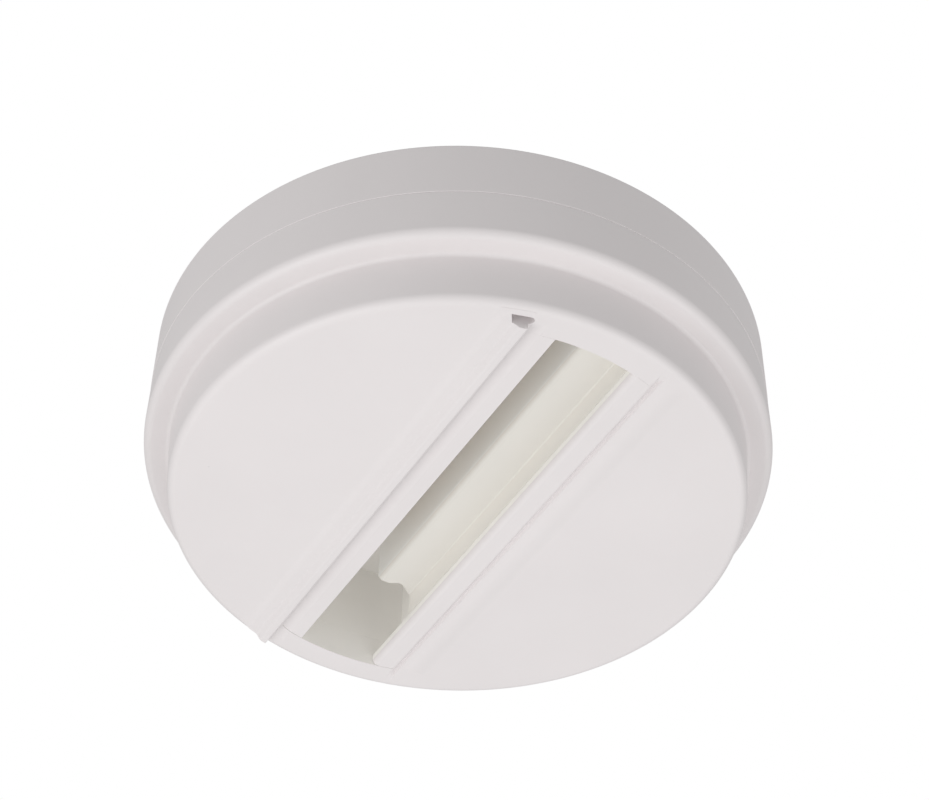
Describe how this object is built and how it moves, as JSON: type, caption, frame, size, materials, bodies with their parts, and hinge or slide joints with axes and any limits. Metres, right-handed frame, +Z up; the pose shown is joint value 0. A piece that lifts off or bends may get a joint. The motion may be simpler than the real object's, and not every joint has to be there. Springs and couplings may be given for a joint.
{
  "type": "ceiling point outlet for a track adapter",
  "caption": "Round two-tier white ceiling point outlet with a long keyed slot for a lighting-track adapter, a lift-off cover and screw terminals inside.",
  "frame": {"origin": "centre of the flat face that lies against the ceiling", "axes": "+Z up into the ceiling, the slot runs along X with its open pocket at -X, the key rib is on the -Y side"},
  "size_m": [0.125, 0.125, 0.0385],
  "materials": {
    "white_plastic": "fine matte, slightly warm white",
    "cream_plastic": "satin cream",
    "grey_plastic": "matte light grey",
    "copper": "drawn copper",
    "brass": "stamped brass",
    "zinc_steel": "bright zinc",
    "dark_rubber": "matte",
    "wire_brown": "satin insulation",
    "wire_black": "satin insulation",
    "wire_grey": "satin insulation",
    "wire_blue": "satin insulation",
    "wire_green_yellow": "satin insulation, green with yellow stripe"
  },
  "bodies": {
    "fixed_base": {"base": "white_plastic", "channel_body": "white_plastic", "wide_contact_carrier": "cream_plastic", "narrow_contact_carrier": "cream_plastic", "conductor_l1": "copper", "conductor_l2": "copper", "conductor_l3": "copper", "conductor_neutral": "copper", "earth_strip": "brass", "load_bracket": "zinc_steel", "terminal_housing": "cream_plastic", "terminal_clamp_l1": "brass", "wire_l1": "wire_brown", "terminal_clamp_l2": "brass", "wire_l2": "wire_black", "terminal_clamp_earth": "brass", "wire_earth": "wire_green_yellow", "terminal_clamp_l3": "brass", "wire_l3": "wire_grey", "terminal_clamp_neutral": "brass", "wire_neutral": "wire_blue", "channel_screw_1": "zinc_steel", "channel_screw_2": "zinc_steel", "channel_screw_3": "zinc_steel", "channel_screw_4": "zinc_steel", "terminal_fixing_screw_1": "zinc_steel", "terminal_fixing_screw_2": "zinc_steel", "cable_grommet": "dark_rubber"},
    "cover": {"cover": "white_plastic"},
    "cable_saddle": {"cable_saddle": "grey_plastic", "saddle_screw_1": "zinc_steel", "saddle_screw_2": "zinc_steel"},
    "terminal_screw_l1": {"terminal_screw_l1": "zinc_steel"},
    "terminal_screw_l2": {"terminal_screw_l2": "zinc_steel"},
    "terminal_screw_earth": {"terminal_screw_earth": "zinc_steel"},
    "terminal_screw_l3": {"terminal_screw_l3": "zinc_steel"},
    "terminal_screw_neutral": {"terminal_screw_neutral": "zinc_steel"}
  },
  "joints": [
    {"name": "cover_pull", "type": "slide", "parent": "fixed_base", "child": "cover", "axis": [0, 0, -1], "range_m": [0, 0.06]},
    {"name": "terminal_screw_l1_turn", "type": "hinge", "parent": "fixed_base", "child": "terminal_screw_l1", "pos_m": [-0.0168, 0.0335, -0.016], "axis": [0, 0, -1], "range_deg": [-1080, 0]},
    {"name": "terminal_screw_l2_turn", "type": "hinge", "parent": "fixed_base", "child": "terminal_screw_l2", "pos_m": [-0.0084, 0.0335, -0.016], "axis": [0, 0, -1], "range_deg": [-1080, 0]},
    {"name": "terminal_screw_earth_turn", "type": "hinge", "parent": "fixed_base", "child": "terminal_screw_earth", "pos_m": [0, 0.0335, -0.016], "axis": [0, 0, -1], "range_deg": [-1080, 0]},
    {"name": "terminal_screw_l3_turn", "type": "hinge", "parent": "fixed_base", "child": "terminal_screw_l3", "pos_m": [0.0084, 0.0335, -0.016], "axis": [0, 0, -1], "range_deg": [-1080, 0]},
    {"name": "terminal_screw_neutral_turn", "type": "hinge", "parent": "fixed_base", "child": "terminal_screw_neutral", "pos_m": [0.0168, 0.0335, -0.016], "axis": [0, 0, -1], "range_deg": [-1080, 0]},
    {"name": "saddle_release", "type": "slide", "parent": "fixed_base", "child": "cable_saddle", "axis": [0, 0, -1], "range_m": [0, 0.003]}
  ]
}
